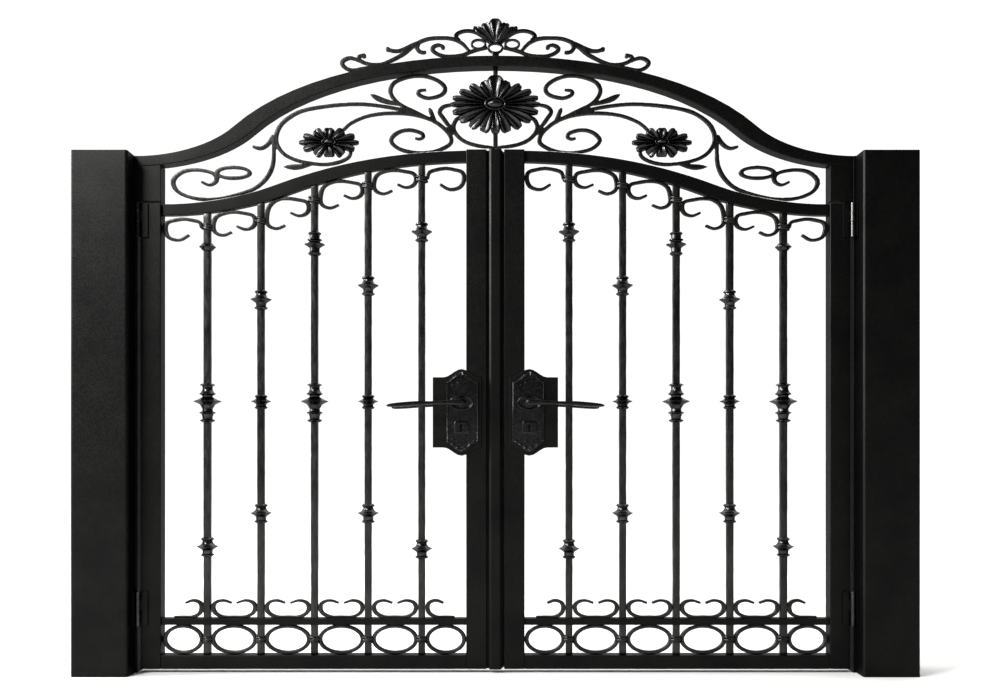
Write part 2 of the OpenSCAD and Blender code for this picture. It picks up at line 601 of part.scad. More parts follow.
module top_scrolls(side) color(coat) on(side) plate(scroll_d) difference() {
    for (i = [0:bar_count]) {
        level = crown_z(i);
        low_z = i < bar_count ? min(tie_z(i), level - low_side_drop) : level - end_side_drop;
        high_z = i > 0 ? tie_z(i - 1) : level - end_side_drop;
        bay_scroll(bay_low(i), bay_high(i), level, crown_bow, low_z, high_z,
            i == 0 ? no_hook : i == bar_count ? end_hook : top_hook,
            i == bar_count ? no_hook : i == 0 ? end_hook : top_hook);
    }
    rail_outline();
}
module left_top_scrolls() top_scrolls(-1);
module right_top_scrolls() top_scrolls(1);

base_hook_h = 24;
base_hook = [-base_hook_h, inner_curl];
foot_sink = 3;
module base_scrolls(side) color(coat) on(side) plate(scroll_d) difference() {
    side_z = ring_rail_top + base_scroll_h - base_hook_h;
    foot_z = ring_rail_top + scroll_level_t / 2 - foot_sink;
    for (i = [0:bar_count])
        bay_scroll(bay_low(i), bay_high(i), foot_z, 0, side_z, side_z,
            i == bar_count ? flat_end : base_hook, i == 0 ? flat_end : base_hook);
    translate([meet_in_x, ring_rail_z]) square([clear_leaf, ring_rail_h]);
}
module left_base_scrolls() base_scrolls(-1);
module right_base_scrolls() base_scrolls(1);

module rings(side) color(coat) on(side) plate(scroll_d) for (i = [0:bar_count]) {
    c = [(bay_low(i) + bay_high(i)) / 2, ring_mid_z];
    oval_ring(c, bay_high(i) - bay_low(i), ring_row_h, ring_side_t, ring_end_t);
}
module left_rings() rings(-1);
module right_rings() rings(1);

// Closing strip: a web on the left leaf carries the chamfered strip in front of the meeting gap
astragal_chamfer = 7;
web_front = -10;
web_clear = 5;
module astragal() color(coat) on(-1) translate([0, 0, ground_gap])
    linear_extrude(height = rail_crown_z - ground_gap) {
        half = astragal_w / 2;
        front = -leaf_front - astragal_proud;
        polygon([[-half + astragal_chamfer, front], [half - astragal_chamfer, front],
            [half, front + astragal_chamfer], [half, web_front], [-half, web_front],
            [-half, front + astragal_chamfer]]);
        translate([web_clear - meet_x, web_front]) square([2 * meet_x - web_clear, leaf_front - web_front]);
    }

// Lock: a case beside each meeting stile between two plates, shields on the plates, a lever through all
plate_t = 6;
plate_inset = 19;
plate_reach = 105;
plate_below = 163;
plate_above = 94;
plate_out_x = spindle_x + plate_reach;
plate_low_z = lever_z - plate_below;
plate_high_z = lever_z + plate_above;
plate_bump_w = 132;
plate_bump = 30;
case_inset = 4;
shield_inset = 30;
shield_in_x = meet_x + shield_inset;
shield_w = 116;
shield_below = 144;
shield_above = 78;
shield_low_z = lever_z - shield_below;
shield_high_z = lever_z + shield_above;
shield_bump = 36;
shield_t = 6;
rose_w = 65;
rose_h = 42;
rose_t = 15;
keyhole_t = 11;
keyhole_w = 53;
keyhole_h = 45;
keyhole_drop = 90;
// Plate with a curved bump on its top and bottom edges, around the spindle
module bumped_plate(low, high, bump_w, bump) {
    curve = [for (k = [0:0.1:1]) [spindle_x + bump_w * (k - 0.5), bump * (1 - cos(360 * k)) / 2]];
    polygon(concat([low], [for (q = curve) [q.x, low.y - q.y]], [[high.x, low.y], high],
        reversed([for (q = curve) [q.x, high.y + q.y]]), [[low.x, high.y]]));
}
module lock_plates(side) color(casting) on(side) difference() {
    union() {
        for (y = [-1, 1]) plate(plate_t, y * (leaf_front + plate_t / 2))
            bumped_plate([meet_x + plate_inset, plate_low_z], [plate_out_x, plate_high_z],
                plate_bump_w, plate_bump);
        block([meet_in_x, -leaf_front, plate_low_z + case_inset],
            [plate_out_x - case_inset, leaf_front, plate_high_z - case_inset]);
    }
    spindle_hole();
}
module left_lock_plates() lock_plates(-1);
module right_lock_plates() lock_plates(1);
shield_face = leaf_front + plate_t;
module on_shield(y, t) plate(t, y * (shield_face + t / 2)) children();
module escutcheons(side) color(casting) on(side) difference() {
    for (y = [-1, 1]) {
        on_shield(y, shield_t) bumped_plate([shield_in_x, shield_low_z],
            [shield_in_x + shield_w, shield_high_z], shield_w, shield_bump);
        on_shield(y, rose_t) polygon(ellipse([spindle_x, lever_z], rose_w, rose_h));
        on_shield(y, keyhole_t)
            translate([spindle_x - keyhole_w / 2, lever_z - keyhole_drop - keyhole_h / 2])
                square([keyhole_w, keyhole_h]);
    }
    spindle_hole();
}
module left_escutcheons() escutcheons(-1);
module right_escutcheons() escutcheons(1);

// Lever: each point is [share of its length, drop, half thickness]
lever_depth = 17;
hub_d = spindle_d + 6;
lever_points = [[0, 0, 10], [0.1, 0, 9.5], [0.25, 2, 7], [0.42, 3, 6.5],
    [0.6, 4, 8], [0.8, 8, 8], [0.94, 11, 6.5], [1, 12, 3]];
function lever_edge(k) = smooth([for (p = lever_points)
    [spindle_x + p[0] * lever_l, lever_z - p[1] + k * p[2]]]);
module lever_outline() polygon(concat(lever_edge(1), reversed(lever_edge(-1))));
module lever(side) color(casting) on(side) {
    translate([spindle_x, 0, lever_z]) rotate([90, 0, 0])
        cylinder(d = spindle_d, h = 2 * (leaf_front + lever_reach), center = true, $fn = round_fn);
    for (y = [-1, 1]) plate(lever_depth, y * (leaf_front + lever_reach)) {
        lever_outline();
        translate([spindle_x, lever_z]) circle(d = hub_d, $fn = round_fn);
    }
}
module left_lever() lever(-1);
module right_lever() lever(1);

left_post();
right_post();
left_jamb_strip();
right_jamb_strip();
arch();
left_arch_leg();
right_arch_leg();
left_overthrow_scrolls();
right_overthrow_scrolls();
flower_stem();
big_flower();
left_flower();
right_flower();
left_crest_scrolls();
right_crest_scrolls();
palmette();
left_hinge_brackets();
right_hinge_brackets();
left_hinge_stile();
left_meeting_stile();
left_top_rail();
left_bottom_rail();
left_ring_rail();
left_bars();
left_collars();
left_ties();
left_top_scrolls();
left_base_scrolls();
left_rings();
left_hinge_knuckles();
left_lock_plates();
left_escutcheons();
left_lever();
astragal();
right_hinge_stile();
right_meeting_stile();
right_top_rail();
right_bottom_rail();
right_ring_rail();
right_bars();
right_collars();
right_ties();
right_top_scrolls();
right_base_scrolls();
right_rings();
right_hinge_knuckles();
right_lock_plates();
right_escutcheons();
right_lever();
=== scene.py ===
"""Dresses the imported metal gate: coated steel frame, hammered bars, castings, lock furniture, studio."""
import json
import math

import bpy
from mathutils import Matrix, Vector


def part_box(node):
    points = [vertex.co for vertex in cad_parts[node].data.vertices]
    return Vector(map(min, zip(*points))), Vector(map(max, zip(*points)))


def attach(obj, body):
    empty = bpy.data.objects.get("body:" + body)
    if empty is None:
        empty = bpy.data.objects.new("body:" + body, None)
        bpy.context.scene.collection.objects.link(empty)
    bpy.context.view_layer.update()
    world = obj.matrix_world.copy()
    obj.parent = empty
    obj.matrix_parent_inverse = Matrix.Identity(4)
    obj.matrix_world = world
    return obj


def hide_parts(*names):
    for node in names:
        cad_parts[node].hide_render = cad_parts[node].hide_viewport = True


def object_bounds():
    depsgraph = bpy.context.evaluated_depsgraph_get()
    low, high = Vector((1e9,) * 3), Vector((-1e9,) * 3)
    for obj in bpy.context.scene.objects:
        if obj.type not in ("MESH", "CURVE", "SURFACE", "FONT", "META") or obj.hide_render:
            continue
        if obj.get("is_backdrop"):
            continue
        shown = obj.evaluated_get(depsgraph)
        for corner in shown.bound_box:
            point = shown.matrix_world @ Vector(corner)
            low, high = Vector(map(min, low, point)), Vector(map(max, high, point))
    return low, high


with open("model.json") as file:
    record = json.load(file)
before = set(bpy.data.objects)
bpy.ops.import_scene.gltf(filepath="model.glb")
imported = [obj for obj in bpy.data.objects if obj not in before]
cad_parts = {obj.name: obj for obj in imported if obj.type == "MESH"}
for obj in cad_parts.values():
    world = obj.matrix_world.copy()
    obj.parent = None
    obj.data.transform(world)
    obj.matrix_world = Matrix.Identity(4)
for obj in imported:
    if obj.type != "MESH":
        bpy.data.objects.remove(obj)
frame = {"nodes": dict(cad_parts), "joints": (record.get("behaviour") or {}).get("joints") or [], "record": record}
cad_low, cad_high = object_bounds()

MM = 0.001
SIDES = ("left", "right")
CENTRE_X = (cad_low[0] + cad_high[0]) / 2


# Small tools
def linear(hex_colour):
    """sRGB hex to linear RGBA."""
    parts = [int(hex_colour[i:i + 2], 16) / 255 for i in (1, 3, 5)]
    return [c / 12.92 if c <= 0.04045 else ((c + 0.055) / 1.055) ** 2.4 for c in parts] + [1]


def add_node(tree, kind, inputs=None, **settings):
    """Adds a node. An input takes a value, or the output socket that is linked to it."""
    node = tree.nodes.new(kind)
    for name, value in settings.items():
        setattr(node, name, value)
    for socket, value in (inputs or {}).items():
        if isinstance(value, bpy.types.NodeSocket):
            tree.links.new(value, node.inputs[socket])
        else:
            node.inputs[socket].default_value = value
    return node


def only(piece):
    """Makes a piece the one selected and active object."""
    bpy.ops.object.select_all(action="DESELECT")
    piece.select_set(True)
    bpy.context.view_layer.objects.active = piece


def edit(piece):
    only(piece)
    bpy.ops.object.mode_set(mode="EDIT")
    bpy.ops.mesh.select_all(action="SELECT")


def done():
    bpy.ops.object.mode_set(mode="OBJECT")


def pick(piece, test, kind="vertices"):
    """Goes to edit mode with the vertices, edges or polygons that pass a test selected."""
    done()
    only(piece)
    mesh = piece.data
    for group in (mesh.vertices, mesh.edges, mesh.polygons):
        group.foreach_set("select", [False] * len(group))
    for part in getattr(mesh, kind):
        part.select = test(part)
    bpy.context.tool_settings.mesh_select_mode = [kind == k for k in ("vertices", "edges", "polygons")]
    bpy.ops.object.mode_set(mode="EDIT")


def apply_modifier(piece, kind, **settings):
    only(piece)
    modifier = piece.modifiers.new(kind.lower(), kind)
    for name, value in settings.items():
        setattr(modifier, name, value)
    bpy.ops.object.modifier_apply(modifier=modifier.name)


def smooth(piece, angle=35):
    only(piece)
    bpy.ops.object.shade_smooth_by_angle(angle=math.radians(angle))


def settled(piece, angle=35):
    """Smooth rounded edges, with the flat faces beside them left flat."""
    smooth(piece, angle)
    apply_modifier(piece, "WEIGHTED_NORMAL", keep_sharp=True)


def fresh(name):
    """Names the primitive that was just added, and puts its place in its mesh."""
    piece = bpy.context.object
    piece.name = name
    bpy.ops.object.transform_apply(location=True, rotation=True, scale=True)
    return piece


def copied(master, places, name):
    """Copies of a master, each with its own mesh at its own place, joined to one piece."""
    made = []
    for place in places:
        piece = bpy.data.objects.new(name, master.data.copy())
        bpy.context.scene.collection.objects.link(piece)
        piece.data.transform(place)
        made.append(piece)
    only(made[0])
    for piece in made[1:]:
        piece.select_set(True)
    bpy.ops.object.join()
    if any(place.determinant() < 0 for place in places):
        edit(made[0])
        bpy.ops.mesh.normals_make_consistent(inside=False)
        done()
    return made[0]


def dropped(*masters):
    for master in masters:
        bpy.data.objects.remove(master)


def joined(pieces, name):
    only(pieces[0])
    for piece in pieces[1:]:
        piece.select_set(True)
    bpy.ops.object.join()
    pieces[0].name = name
    return pieces[0]


def body_of(node):
    return next(body for body, nodes in frame["record"]["behaviour"]["bodies"].items() if node in nodes)


def slot_of(node):
    return next(s["material_slot"] for s in frame["record"]["subparts"] if s["node"] == node)


def joint_place(body):
    """Place in metres of the joint that carries a body."""
    return next(j for j in frame["joints"] if j["child"] == body)["pos_m"]


def dress(piece, node, finish=None, stands_for=True):
    """Gives a finished piece its coat and its body; where it stands for its CAD node, that is hidden."""
    slot = slot_of(node)
    piece.data.materials.clear()
    piece.data.materials.append(finishes[finish or slot])
    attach(piece, body_of(node))
    if stands_for:
        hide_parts(node)


# Finishes
def coat(name, deep, light, roughness, grit, depth, metallic=1.0, stretch=1.0):
    """A black coat: cloudy colour, with grit in the gloss and in the relief. A coat with iron mica in it
    mirrors like dark metal and stays dark at the edges. Stretch draws the grit out along the bars."""
    material = bpy.data.materials.new(name)
    material.use_nodes = True
    tree = material.node_tree
    shader = tree.nodes["Principled BSDF"]
    place = add_node(tree, "ShaderNodeTexCoord").outputs["Object"]
    drawn = add_node(tree, "ShaderNodeMapping", {"Vector": place, "Scale": (1, 1, 1 / stretch)})
    grain = add_node(tree, "ShaderNodeTexNoise", {
        "Vector": drawn.outputs["Vector"], "Scale": 1 / grit, "Detail": 3.0})
    cloud = add_node(tree, "ShaderNodeTexNoise", {"Vector": place, "Scale": 1 / CLOUD, "Detail": 2.0})
    mixed = add_node(tree, "ShaderNodeMath", {0: grain.outputs["Fac"], 1: cloud.outputs["Fac"]},
                     operation="MULTIPLY")
    colour = add_node(tree, "ShaderNodeValToRGB", {"Fac": mixed.outputs[0]})
    colour.color_ramp.elements[0].position = 0.12
    colour.color_ramp.elements[0].color = linear(deep)
    colour.color_ramp.elements[1].position = 0.42
    colour.color_ramp.elements[1].color = linear(light)
    gloss = add_node(tree, "ShaderNodeMapRange", {
        "Value": grain.outputs["Fac"], "From Min": 0.3, "From Max": 0.7,
        "To Min": roughness - 0.06, "To Max": roughness + 0.06})
    relief = add_node(tree, "ShaderNodeBump", {
        "Height": grain.outputs["Fac"], "Strength": 0.5, "Distance": depth})
    tree.links.new(colour.outputs["Color"], shader.inputs["Base Color"])
    tree.links.new(gloss.outputs["Result"], shader.inputs["Roughness"])
    tree.links.new(relief.outputs["Normal"], shader.inputs["Normal"])
    shader.inputs["Metallic"].default_value = metallic
    shader.inputs["Specular Tint"].default_value = (0.6, 0.6, 0.6, 1)
    return material


CLOUD = 160 * MM
finishes = {
    # Polyester powder with iron mica on steel: matt, with a grit that glitters a little where light grazes
    # it. The grit is 0.2 mm on a real coat and is drawn 5 mm wide, so that it shows in the render
    "powder_coat": coat("iron_mica_powder_coat", "#151515", "#1d1d1c", 0.45, 5 * MM, 0.35 * MM),
    # The same powder on forged bars: the hammer's marks show as streaks of gloss along the bar
    "forged": coat("powder_coated_forged_bar", "#242423", "#383837", 0.36, 8 * MM, 0.9 * MM, stretch=4.0),
    # Graphite enamel brushed on castings: deep black in the hollows, with clear lights on the ridges
    "cast_coat": coat("graphite_enamel_on_castings", "#252525", "#383838", 0.25, 9 * MM, 0.2 * MM),
    # Stoved graphite lacquer on the lock furniture: even and smooth to the touch
    "lock_coat": coat("stoved_graphite_lacquer", "#272727", "#2d2d2d", 0.25, 12 * MM, 0.03 * MM),
    # Worn enamel on the hinge barrels: bare enough to catch a bright line
    "hinge": coat("worn_enamel_on_steel", "#2a2a2a", "#3e3e3d", 0.3, 12 * MM, 0.1 * MM),
    # Moulded EPDM rubber: dull black. On the meeting seal this black is also painted shade, standing in for the
    # shadow in the meeting gap
    "rubber_gap_shade": coat("moulded_epdm_rubber", "#090909", "#0e0e0e", 0.75, 4 * MM, 0.2 * MM, 0.0),
}


# Tubes, rails, rings and flower stems: each CAD node again, with the rounded edges of rolled steel
def merged_copy(node, name):
    piece = bpy.data.objects.new(name, frame["nodes"][node].data.copy())
    bpy.context.scene.collection.objects.link(piece)
    edit(piece)
    bpy.ops.mesh.remove_doubles(threshold=0.01 * MM)
    bpy.ops.mesh.tris_convert_to_quads(face_threshold=math.radians(0.5), shape_threshold=math.radians(180))
    done()
    return piece


def round_edges(piece, edge, segments=3):
    apply_modifier(piece, "BEVEL", width=edge, segments=segments, limit_method="ANGLE",
                   angle_limit=math.radians(35), use_clamp_overlap=False)


def rolled(node, edge, finish):
    piece = merged_copy(node, node + "_coated")
    round_edges(piece, edge)
    settled(piece)
    dress(piece, node, finish)


# Edge radius in mm
EDGES = {
    "post": 1.5, "jamb_strip": 1, "arch": 3, "arch_leg": 3, "hinge_stile": 3, "meeting_stile": 3,
    "top_rail": 2.5, "bottom_rail": 3, "ring_rail": 2, "lock_plates": 1.5,
}
FORGED_EDGES = {"flower_stem": 3, "rings": 4}
for node in frame["nodes"]:
    kind = node.split("_", 1)[1] if node.startswith(SIDES) else node
    for edges, finish in ((EDGES, "powder_coat"), (FORGED_EDGES, "forged")):
        if kind in edges:
            rolled(node, edges[kind] * MM, finish)


# Hinges: worn barrels, on plates painted with the frame. The plate on the post is set back from the leaf's
# barrel, which touches it in the CAD
BARREL_R = 9 * MM
PLATE_SETBACK = 0.5 * MM


def hinge(side, kind):
    node = side + kind
    piece = merged_copy(node, node + "_coated")
    axis = Vector(joint_place(side + "_leaf"))
    out = 1 if side == "right" else -1
    if kind == "_hinge_brackets":
        pick(piece, lambda v: abs(v.co.x - axis.x - out * BARREL_R) < 0.05 * MM)
        bpy.ops.transform.translate(value=(out * PLATE_SETBACK, 0, 0))
        done()
    round_edges(piece, 1 * MM)
    settled(piece)
    dress(piece, node, "hinge")
    piece.data.materials.append(finishes["powder_coat"])
    for face in piece.data.polygons:
        face.material_index = int((face.center - axis).xy.length > BARREL_R + 0.2 * MM)


for side in SIDES:
    hinge(side, "_hinge_brackets")
    hinge(side, "_hinge_knuckles")


# Closing strip: its two long front edges are chamfered, and the rest are rounded
STRIP_CHAMFER = 7 * MM


def closing_strip():
    piece = merged_copy("astragal", "astragal_coated")
    low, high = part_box("astragal")

    def long_front_edge(e):
        ends = [piece.data.vertices[i].co for i in e.vertices]
        return all(abs(v.y - low[1]) < 0.1 * MM and min(abs(v.x - low[0]), abs(v.x - high[0])) < 0.1 * MM
                   for v in ends) and abs(ends[0].z - ends[1].z) > 10 * MM

    pick(piece, long_front_edge, "edges")
    bpy.ops.mesh.bevel(offset=STRIP_CHAMFER, segments=1, affect="EDGES")
    done()
    round_edges(piece, 1 * MM, 2)
    settled(piece)
    dress(piece, "astragal", "powder_coat")


closing_strip()


# Forged work: the hammer leaves rounded edges and a dented skin
DENTS = bpy.data.textures.new("hammer_dents", "CLOUDS")
DENTS.noise_scale = 0.045


def dented(piece, depth):
    apply_modifier(piece, "DISPLACE", texture=DENTS, texture_coords="LOCAL", strength=depth, mid_level=0.5)


def forged_scrolls(node):
    """Scrolls welded where they touch: remeshed as one skin, smoothed to rounded bars and dented."""
    piece = merged_copy(node, node + "_forged")
    apply_modifier(piece, "REMESH", mode="VOXEL", voxel_size=2 * MM)
    apply_modifier(piece, "SMOOTH", factor=0.5, iterations=8)
    apply_modifier(piece, "DECIMATE", ratio=0.2)
    dented(piece, 1.6 * MM)
    smooth(piece, 60)
    dress(piece, node, "forged")


for kind in ("overthrow_scrolls", "crest_scrolls", "top_scrolls", "base_scrolls"):
    for side in SIDES:
        forged_scrolls(side + "_" + kind)


# Bars: cut into short lengths, so that the dents can bend them
BAR_LENGTHS = 22 * MM


def hammered_bars(side):
    node = side + "_bars"
    piece = merged_copy(node, node + "_forged")
    low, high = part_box(node)
    edit(piece)
    cuts = int((high[2] - low[2]) / BAR_LENGTHS)
    for i in range(1, cuts):
        bpy.ops.mesh.select_all(action="SELECT")
        bpy.ops.mesh.bisect(plane_co=(0, 0, low[2] + (high[2] - low[2]) * i / cuts), plane_no=(0, 0, 1))
    done()
    round_edges(piece, 2.5 * MM, 2)
    dented(piece, 2.2 * MM)
    smooth(piece, 30)
    dress(piece, node, "forged")


for side in SIDES:
    hammered_bars(side)


# Turned collars: a ring of vertices drawn up the bar, out along the cones to each rim and back to the neck.
# Height and radius of each ring in mm, from the lowest
NECK = 18.5
KNOTS = {
    "single": [(-13, NECK), (-8, 22.5), (-4, 26), (-1, 30), (1, 30), (4, 26), (8, 22.5), (13, NECK)],
    "small": [(-37, NECK), (-33, 24), (-30.5, 24.5), (-26, NECK), (-17, NECK), (-13, 20.5), (-9.6, 25),
              (-6, 30.5), (-1, 38), (1, 38), (4, 29), (8.8, 23), (13, 20.5), (17, NECK), (21.5, NECK),
              (25.5, 23.5), (28.5, 23.5), (33, NECK)],
    "middle": [(-28, NECK), (-23.5, 23.5), (-21.5, 23.5), (-17.5, NECK), (-12, NECK), (-9, 20.5),
               (-5, 26.5), (-1, 36.5), (1, 36.5), (5, 26.5), (9, 20.5), (12, NECK), (14.5, 20.5),
               (17, 23), (19.5, 23), (23.5, NECK)],
    "upper": [(-40, NECK), (-35, 23.5), (-32, 24), (-27, NECK), (-14, NECK), (-10, 22.5), (-6.3, 28),
              (-1, 37), (1, 37), (4.8, 28), (8, 20.5), (9.5, 19.5), (12, 20.5), (15.5, 26.5), (18, 26.5),
              (22, NECK), (34, NECK), (38.5, 23.5), (41.5, 24), (46, NECK)],
    "big": [(-77, NECK), (-72, 27), (-69, 27), (-64, NECK), (-57, NECK), (-47, 22), (-43.5, 29.5),
            (-41, 29.5), (-36, 20), (-28, NECK), (-22, 22), (-17, 24.5), (-11, 29), (-6, 40), (-1.2, 50),
            (1.2, 50), (6, 37), (10, 30), (14, 22), (17, NECK), (21, 19.5), (26, 29.5), (28.5, 29.5),
            (33, 24), (38, 21), (44, NECK), (53, NECK), (57, 21), (59, 27.5), (61.5, 27.5), (66, NECK)],
}
# Knots on each bar from the hinge side: height as a share of the way from the ring rail to the stile's top
BAR_KNOTS = [
    [(0.898, "single"), (0.524, "big"), (0.173, "small")],
    [(0.771, "small"), (0.524, "middle"), (0.254, "small")],
    [(0.904, "upper"), (0.524, "big")],
    [(0.805, "small"), (0.524, "middle"), (0.254, "small")],
    [(0.935, "small"), (0.168, "small")],
]


def turned_knot(name, rings):
    bpy.ops.object.select_all(action="DESELECT")
    bpy.ops.mesh.primitive_circle_add(vertices=36, radius=NECK * MM, fill_type="NGON",
                                      location=(0, 0, rings[0][0] * MM))
    piece = fresh(name)
    edit(piece)
    for (z0, r0), (z1, r1) in zip(rings, rings[1:]):
        bpy.ops.mesh.extrude_region_move(TRANSFORM_OT_translate={"value": (0, 0, (z1 - z0) * MM)})
        bpy.ops.transform.resize(value=(r1 / r0, r1 / r0, 1), center_override=(0, 0, z1 * MM))
    bpy.ops.mesh.select_all(action="SELECT")
    bpy.ops.mesh.normals_make_consistent(inside=False)
    done()
    smooth(piece, 30)
    return piece


def bar_middles(side):
    """Middle of each bar from the hinge side, from the merged bars' own corners."""
    xs = sorted({round(v.co.x, 4) for v in frame["nodes"][side + "_bars"].data.vertices})
    middles = [(xs[i] + xs[i + 1]) / 2 for i in range(0, len(xs), 2)]
    return middles if side == "left" else middles[::-1]


def collars(side, masters):
    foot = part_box(side + "_ring_rail")[1][2]
    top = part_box(side + "_hinge_stile")[1][2]
    knots = []
    for x, bar in zip(bar_middles(side), BAR_KNOTS):
        for share, kind in bar:
            place = Matrix.Translation((x, 0, foot + share * (top - foot)))
            knots.append(copied(masters[kind], [place], "knot"))
    dress(joined(knots, side + "_collars_turned"), side + "_collars")


knot_masters = {name: turned_knot(name, rings) for name, rings in KNOTS.items()}
for side in SIDES:
    collars(side, knot_masters)
dropped(*knot_masters.values())


# Ties: three coils of strap wound round a bar and the scrolls or rings beside it. Height in mm and tilt in
# degrees of each coil
COILS = ((-6.5, 7), (0, -5), (6.5, 8))


def coil_master():
    bpy.ops.object.select_all(action="DESELECT")
    bpy.ops.mesh.primitive_torus_add(major_segments=28, minor_segments=10, major_radius=20 * MM,
                                     minor_radius=4 * MM)
    piece = fresh("coil")
    edit(piece)
    bpy.ops.transform.resize(value=(1.02, 0.76, 1.15), center_override=(0, 0, 0))
    done()
    smooth(piece, 60)
    return piece


def ties(side, coil):
    node = side + "_ties"
    mesh = frame["nodes"][node].data
    heights = {}
    for vertex in mesh.vertices:
        bar = min(bar_middles(side), key=lambda x: abs(x - vertex.co.x))
        heights.setdefault(bar, []).append(vertex.co.z)
    places = []
    for x, found in heights.items():
        middle = (min(found) + max(found)) / 2
        for part in ([z for z in found if z < middle], [z for z in found if z > middle]):
            z = (min(part) + max(part)) / 2
            for up, tilt in COILS:
                places.append(Matrix.Translation((x, 0, z + up * MM))
                              @ Matrix.Rotation(math.radians(tilt), 4, "Y"))
    dress(copied(coil, places, node + "_wound"), node)


coil = coil_master()
for side in SIDES:
    ties(side, coil)
dropped(coil)


# Cast petals and lobes: one master petal, a unit long, with a raised rim on both sides of a hollow
PETAL_WIDTHS = (0.10, 0.15, 0.27, 0.40, 0.53, 0.66, 0.78, 0.80, 0.42)
PETAL_HEIGHTS = (0.25, 0.4, 0.7, 0.92, 1.0, 1.0, 0.92, 0.74, 0.42)
PETAL_RIDGE = (-0.2, 1.0, 0.72, 0.56, 0.5, 0.56, 0.72, 1.0, -0.2)
# Subdivision draws the tip in, so a petal on a flower is made longer by this
TIP_ROUNDING = 1.04
# Petals overlap a little; the one at the top of the big flower is wider and stands higher than the rest
PETAL_OVERLAP = 1.08
TOP_PETAL_WIDTH, TOP_PETAL_HEIGHT = 1.8, 1.1
# Power that draws the flower's oval a little towards a lozenge
OVAL_POWER = 1.1
BOSS_SHARE = 0.24


def petal_master():
    """A grid along +X: each row drawn in to the petal's width, each column raised to its height in the
    hollow. It rises along -Y and its width lies along Z."""
    rows, columns = len(PETAL_WIDTHS), len(PETAL_RIDGE)
    bpy.ops.object.select_all(action="DESELECT")
    bpy.ops.mesh.primitive_grid_add(x_subdivisions=rows - 1, y_subdivisions=columns - 1, size=1,
                                    location=(0.5, 0, 0))
    piece = fresh("petal")
    for i, (width, height) in enumerate(zip(PETAL_WIDTHS, PETAL_HEIGHTS)):
        x = i / (rows - 1)
        for j, ridge in enumerate(PETAL_RIDGE):
            y = j / (columns - 1) - 0.5
            pick(piece, lambda v: abs(v.co.x - x) < 0.02 and abs(v.co.y - y) < 0.02)
            bpy.ops.transform.translate(value=(0, 0, ridge * height))
        pick(piece, lambda v: abs(v.co.x - x) < 0.02)
        bpy.ops.transform.resize(value=(1, width, 1), center_override=(x, 0, 0))
    pick(piece, lambda v: v.co.x > 0.98)
    bpy.ops.transform.translate(value=(-0.02, 0, 0))
    bpy.ops.mesh.select_all(action="SELECT")
    bpy.ops.mesh.extrude_region_move(TRANSFORM_OT_translate={"value": (0, 0, -0.35)})
    bpy.ops.mesh.select_all(action="SELECT")
    bpy.ops.mesh.normals_make_consistent(inside=False)
    bpy.ops.transform.rotate(value=math.radians(-90), orient_axis="X", center_override=(0, 0, 0))
    done()
    apply_modifier(piece, "SUBSURF", levels=1, render_levels=1)
    smooth(piece, 60)
    return piece


def petal_at(root, angle, length, width, height):
    """Place of a petal that starts at its root and points at an angle in the gate's plane."""
    return (Matrix.Translation(root) @ Matrix.Rotation(math.radians(-angle), 4, "Y")
            @ Matrix.Diagonal((length, height, width, 1)))


def boss(centre, width, height, depth, name):
    """A dome in a raised ring: a sphere cut in half and flattened, with a torus round its foot."""
    bpy.ops.object.select_all(action="DESELECT")
    bpy.ops.mesh.primitive_uv_sphere_add(segments=32, ring_count=16, radius=0.5)
    dome = fresh(name)
    edit(dome)
    bpy.ops.mesh.bisect(plane_co=(0, 0, 0), plane_no=(0, 1, 0), clear_outer=True, use_fill=True)
    bpy.ops.mesh.select_all(action="SELECT")
    bpy.ops.transform.resize(value=(0.82 * width, 2 * depth, 0.80 * height), center_override=(0, 0, 0))
    done()
    bpy.ops.object.select_all(action="DESELECT")
    bpy.ops.mesh.primitive_torus_add(major_segments=40, minor_segments=10, major_radius=0.46,
                                     minor_radius=0.05, rotation=(math.radians(90), 0, 0))
    rim = fresh("boss_rim")
    edit(rim)
    bpy.ops.transform.resize(value=(width, 2.2 * depth, height), center_override=(0, 0, 0))
    bpy.ops.transform.translate(value=(0, -0.55 * depth, 0))
    done()
    piece = joined([dome, rim], name)
    piece.data.transform(Matrix.Translation(centre))
    smooth(piece, 50)
    return piece


def cast_flower(node, half_width, up, down, count, longer, under, petal):
    """Two layers of petals round a boss; the lower layer shows in the notches of the upper one."""
    low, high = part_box(node)
    back = high[1]
    deep = back - low[1]
    centre = Vector(((low[0] + high[0]) / 2, back, high[2] - up - longer))
    step = math.radians(360 / count)

    def on_oval(turn):
        c, s = (math.copysign(abs(f(turn)) ** OVAL_POWER, f(turn)) for f in (math.cos, math.sin))
        return Vector((half_width * c, (up if s > 0 else down) * s))

    places = []
    for layer, reach_share, height in ((1, under, 0.3), (0, 1.0, 0.8)):
        for j in range(count):
            turn = math.radians(90) + (j + layer / 2) * step
            tip = on_oval(turn)
            reach, rise = tip.length * reach_share * TIP_ROUNDING, height * deep
            across = on_oval(turn + step / 2) - on_oval(turn - step / 2)
            width = abs(across.cross(tip.normalized())) * PETAL_OVERLAP
            if longer and layer == 0 and j == 0:
                reach, rise = up + longer, rise * TOP_PETAL_HEIGHT
                width *= TOP_PETAL_WIDTH
            places.append(petal_at(centre, math.degrees(math.atan2(tip.y, tip.x)), reach, width, rise))
    petals = copied(petal, places, node + "_cast")
    eye = boss(centre, BOSS_SHARE * 2 * half_width, BOSS_SHARE * (up + down), deep * 0.98, "boss")
    dress(joined([petals, eye], node + "_cast"), node)


petal = petal_master()
big_low, big_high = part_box("big_flower")
big_tall = big_high[2] - big_low[2]
